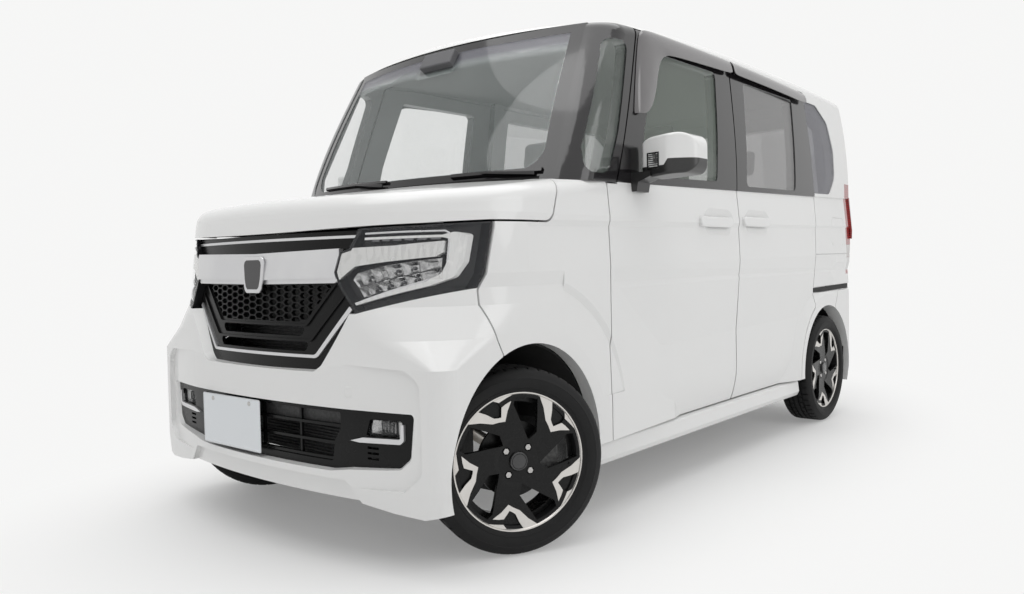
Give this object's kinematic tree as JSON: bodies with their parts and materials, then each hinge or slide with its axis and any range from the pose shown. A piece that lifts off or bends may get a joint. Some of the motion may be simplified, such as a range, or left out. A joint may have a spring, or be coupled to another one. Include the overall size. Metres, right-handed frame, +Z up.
{
  "type": "kei wagon car",
  "caption": "Tall boxy kei wagon with hinged front doors, sliding rear doors, lifting tailgate and bonnet, hollow cabin with seats, and steered front wheels.",
  "frame": {"origin": "on the ground under the centre of the car's bounding box", "axes": "+X to the car's left, -Y towards its nose, +Z up"},
  "size_m": [1.904, 3.3948, 1.792],
  "materials": {
    "white_pearl": "clear-coated white pearl paint",
    "black_gloss": "gloss black",
    "black_matte": "grained black plastic",
    "clear_glass": "lightly tinted safety glass",
    "privacy_glass": "dark privacy glass",
    "lamp_lens": "clear lamp lens over a dark housing",
    "satin_chrome": "satin chrome plating",
    "light_guide": "frosted light guide and bright reflector",
    "tail_lens": "red lamp lens",
    "tyre": "black rubber",
    "alloy": "gloss black alloy with machined faces",
    "steel_black": "black chassis paint",
    "cast": "cast and machined",
    "exhaust_steel": "stainless tube",
    "seat_fabric": "dark woven fabric",
    "dash_plastic": "grained dark plastic",
    "tank_plastic": "moulded black plastic"
  },
  "bodies": {
    "body": {"centre_pillars": "black_gloss", "chrome_trim": "satin_chrome", "cowl_and_bulkhead": "black_matte", "dashboard": "dash_plastic", "engine": "cast", "exhaust": "exhaust_steel", "fixed_side_glass": "privacy_glass", "floor_pan": "steel_black", "fog_lamps": "lamp_lens", "front_bumper": "white_pearl", "front_fenders": "white_pearl", "front_pillars": "black_gloss", "front_seats": "seat_fabric", "front_struts": "steel_black", "front_subframe": "steel_black", "fuel_tank": "tank_plastic", "headlamp_guides": "light_guide", "headlamp_lenses": "lamp_lens", "headlamps": "black_gloss", "lower_grille": "black_matte", "rear_axle": "steel_black", "rear_bumper": "white_pearl", "rear_quarters": "white_pearl", "rear_seats": "seat_fabric", "roof": "white_pearl", "side_skirts": "white_pearl", "slide_rails": "black_matte", "sliding_door_frames": "black_gloss", "sliding_door_glass": "privacy_glass", "sliding_doors": "white_pearl", "steering_wheel": "dash_plastic", "tail_lamps": "tail_lens", "upper_grille": "black_gloss", "wheel_wells": "black_matte", "windscreen": "clear_glass"},
    "front_door_left": {"front_door_left": "white_pearl", "front_door_frame_left": "black_gloss", "front_door_glass_left": "clear_glass", "door_mirror_left": "white_pearl"},
    "front_door_right": {"front_door_right": "white_pearl", "front_door_frame_right": "black_gloss", "front_door_glass_right": "clear_glass", "door_mirror_right": "white_pearl"},
    "bonnet": {"bonnet": "white_pearl"},
    "tailgate": {"tailgate": "white_pearl", "tailgate_glass": "privacy_glass"},
    "knuckle_left": {"knuckle_left": "cast"},
    "knuckle_right": {"knuckle_right": "cast"},
    "wheel_front_left": {"front_left_tyre": "tyre", "front_left_rim": "alloy"},
    "wheel_front_right": {"front_right_tyre": "tyre", "front_right_rim": "alloy"},
    "wheel_rear_left": {"rear_left_tyre": "tyre", "rear_left_rim": "alloy"},
    "wheel_rear_right": {"rear_right_tyre": "tyre", "rear_right_rim": "alloy"}
  },
  "joints": [
    {"name": "front_door_left_hinge", "type": "hinge", "parent": "body", "child": "front_door_left", "pos_m": [0.737, -0.797, 0.8], "axis": [0, 0, -1], "range_deg": [0, 68]},
    {"name": "front_door_right_hinge", "type": "hinge", "parent": "body", "child": "front_door_right", "pos_m": [-0.737, -0.797, 0.8], "axis": [0, 0, 1], "range_deg": [0, 68]},
    {"name": "bonnet_hinge", "type": "hinge", "parent": "body", "child": "bonnet", "pos_m": [0, -1.05, 1.152], "axis": [-1, 0, 0], "range_deg": [0, 50]},
    {"name": "tailgate_hinge", "type": "hinge", "parent": "body", "child": "tailgate", "pos_m": [0, 1.5, 1.782], "axis": [1, 0, 0], "range_deg": [0, 80]},
    {"name": "steering_left", "type": "hinge", "parent": "body", "child": "knuckle_left", "pos_m": [0.64, -1.2325, 0.279], "axis": [0, 0, 1], "range_deg": [-8, 63]},
    {"name": "steering_right", "type": "hinge", "parent": "body", "child": "knuckle_right", "pos_m": [-0.64, -1.2325, 0.279], "axis": [0, 0, 1], "range_deg": [-8, 63]},
    {"name": "wheel_front_left_spin", "type": "hinge", "parent": "knuckle_left", "child": "wheel_front_left", "pos_m": [0.65109, -1.23827, 0.279], "axis": [0.887, -0.4617, 0], "continuous": true},
    {"name": "wheel_front_right_spin", "type": "hinge", "parent": "knuckle_right", "child": "wheel_front_right", "pos_m": [-0.65109, -1.22673, 0.279], "axis": [0.887, -0.4617, 0], "continuous": true},
    {"name": "wheel_rear_left_spin", "type": "hinge", "parent": "body", "child": "wheel_rear_left", "pos_m": [0.6525, 1.2875, 0.279], "axis": [1, 0, 0], "continuous": true},
    {"name": "wheel_rear_right_spin", "type": "hinge", "parent": "body", "child": "wheel_rear_right", "pos_m": [-0.6525, 1.2875, 0.279], "axis": [1, 0, 0], "continuous": true}
  ],
  "couplings": [
    {"joint": "steering_right", "follows": "steering_left", "ratio": 1}
  ]
}
